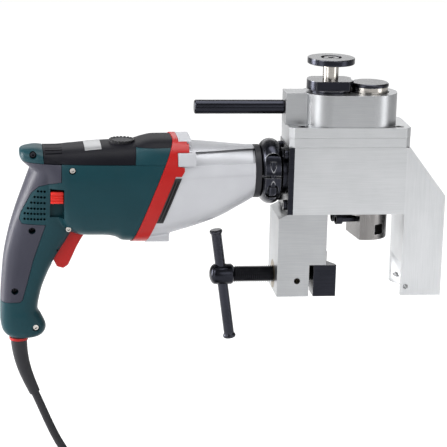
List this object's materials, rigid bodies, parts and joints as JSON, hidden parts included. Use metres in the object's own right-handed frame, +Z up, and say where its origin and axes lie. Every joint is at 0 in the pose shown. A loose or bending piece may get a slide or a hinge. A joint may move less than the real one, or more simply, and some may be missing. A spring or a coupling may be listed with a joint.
{
  "type": "pipe beveling machine",
  "caption": "Hand-held pipe beveling machine: an electric drill drive clamped to a gear head with a clamping leg, a V seat, a fed spindle and a rotary cutter head.",
  "frame": {"origin": "on the spindle axis at clamping height, midway up the jaw and the V seat, where the axis of the clamped pipe passes", "axes": "+X from the drill's handle towards the right leg, along the clamp screw; +Y away from the side that the picture shows; +Z up, along the spindle towards the feed knob"},
  "size_m": [0.4237, 0.1625, 0.4406],
  "materials": {
    "machined_aluminium": "milled and brushed",
    "blackened_steel": "blackened, oiled",
    "bright_steel": "ground",
    "bronze": "turned",
    "green_plastic": "fine moulded texture",
    "soft_grip": "soft, matt",
    "grey_plastic": "moulded texture",
    "red_plastic": "smooth",
    "cast_case": "die cast, silver lacquer",
    "black_plastic": "moulded",
    "black_rubber": "matt",
    "motor_iron": "laminations with copper windings",
    "cord_rubber": "matt cable jacket"
  },
  "bodies": {
    "frame": {"gear_block": "machined_aluminium", "middle_plate": "machined_aluminium", "top_plate": "machined_aluminium", "feed_housing": "machined_aluminium", "left_leg": "machined_aluminium", "right_leg": "machined_aluminium", "motor_flange": "blackened_steel", "clamp_collar": "blackened_steel", "collar_screw": "blackened_steel", "socket_screws": "blackened_steel", "side_handle": "blackened_steel", "screw_bush": "bronze", "spindle_bush": "bronze", "head_bearings": "bright_steel", "feed_collar": "blackened_steel", "near_shell": "green_plastic", "far_shell": "green_plastic", "top_cover": "grey_plastic", "grip": "soft_grip", "red_band": "red_plastic", "air_vents": "black_plastic", "gear_case": "cast_case", "nose_ring": "black_rubber", "stator": "motor_iron", "brush_holders": "bronze", "switch_block": "black_plastic", "drive_bearings": "bright_steel", "housing_screws": "blackened_steel", "cord_sleeve": "black_rubber", "cord_lead": "cord_rubber", "cord_coil": "cord_rubber", "cord_tail": "cord_rubber", "cord_tie": "black_rubber", "plug": "black_rubber"},
    "jaw": {"moving_jaw": "blackened_steel"},
    "clamp_screw": {"clamp_screw": "blackened_steel"},
    "tommy_bar": {"tommy_bar": "blackened_steel"},
    "feed_knob": {"feed_knob": "blackened_steel", "knob_screw": "blackened_steel", "feed_shaft": "bright_steel", "feed_pinion": "bright_steel"},
    "feed_nut": {"feed_nut_gear": "bronze"},
    "quill": {"feed_sleeve": "bright_steel", "sleeve_cap": "blackened_steel", "sleeve_bearings": "bright_steel"},
    "spindle": {"spindle": "bright_steel", "cutter_head": "bright_steel", "cutter_screws": "blackened_steel"},
    "bevel_gear": {"bevel_gear": "bright_steel"},
    "output": {"bevel_pinion": "bright_steel", "output_shaft": "bright_steel", "output_gear": "bright_steel"},
    "intermediate": {"intermediate_gear": "bright_steel"},
    "armature": {"armature_shaft": "bright_steel", "armature_core": "motor_iron", "motor_fan": "black_plastic"},
    "trigger": {"trigger": "red_plastic"},
    "slider": {"direction_slider": "red_plastic"},
    "selector": {"selector_knob": "black_plastic"}
  },
  "joints": [
    {"name": "armature_spin", "type": "hinge", "parent": "frame", "child": "armature", "pos_m": [-0.24, 0, 0.084], "axis": [1, 0, 0], "continuous": true},
    {"name": "intermediate_spin", "type": "hinge", "parent": "frame", "child": "intermediate", "pos_m": [-0.17, 0.01773, 0.09325], "axis": [1, 0, 0], "continuous": true},
    {"name": "output_spin", "type": "hinge", "parent": "frame", "child": "output", "pos_m": [-0.1, 0, 0.1025], "axis": [1, 0, 0], "continuous": true},
    {"name": "bevel_gear_spin", "type": "hinge", "parent": "frame", "child": "bevel_gear", "pos_m": [0, 0, 0.09], "axis": [0, 0, 1], "continuous": true},
    {"name": "feed_knob_spin", "type": "hinge", "parent": "frame", "child": "feed_knob", "pos_m": [-0.03825, 0, 0.2], "axis": [0, 0, -1], "range_deg": [0, 2630]},
    {"name": "feed_nut_spin", "type": "hinge", "parent": "frame", "child": "feed_nut", "pos_m": [0, 0, 0.154], "axis": [0, 0, -1], "range_deg": [-2161, 0]},
    {"name": "quill_slide", "type": "slide", "parent": "frame", "child": "quill", "axis": [0, 0, -1], "range_m": [0, 0.018]},
    {"name": "cutter_spin", "type": "hinge", "parent": "quill", "child": "spindle", "pos_m": [0, 0, 0.1], "axis": [0, 0, 1], "continuous": true},
    {"name": "jaw_slide", "type": "slide", "parent": "frame", "child": "jaw", "axis": [1, 0, 0], "range_m": [-0.0041, 0.0301]},
    {"name": "clamp_screw_spin", "type": "hinge", "parent": "jaw", "child": "clamp_screw", "pos_m": [-0.1, 0, 0], "axis": [1, 0, 0], "range_deg": [-720, 5400]},
    {"name": "tommy_bar_slide", "type": "slide", "parent": "clamp_screw", "child": "tommy_bar", "axis": [-0.1478, 0, 0.989], "range_m": [-0.027, 0.008]},
    {"name": "trigger_pull", "type": "slide", "parent": "frame", "child": "trigger", "axis": [-0.866, 0, 0.5], "range_m": [0, 0.006], "stiffness_N_per_m": 400, "springref_m": -0.003},
    {"name": "direction_slide", "type": "slide", "parent": "frame", "child": "slider", "axis": [0, 0, -1], "range_m": [0, 0.011]},
    {"name": "selector_turn", "type": "hinge", "parent": "frame", "child": "selector", "pos_m": [-0.236, 0, 0.13], "axis": [0, 0, 1], "range_deg": [0, 180]}
  ],
  "couplings": [
    {"joint": "intermediate_spin", "follows": "armature_spin", "ratio": -0.33333},
    {"joint": "output_spin", "follows": "armature_spin", "ratio": 0.11111},
    {"joint": "bevel_gear_spin", "follows": "armature_spin", "ratio": -0.055556},
    {"joint": "cutter_spin", "follows": "armature_spin", "ratio": -0.055556},
    {"joint": "feed_knob_spin", "follows": "quill_slide", "rad_per_m": 2549.7},
    {"joint": "feed_nut_spin", "follows": "quill_slide", "rad_per_m": -2094.4},
    {"joint": "jaw_slide", "follows": "clamp_screw_spin", "m_per_rad": 0.00031831}
  ]
}
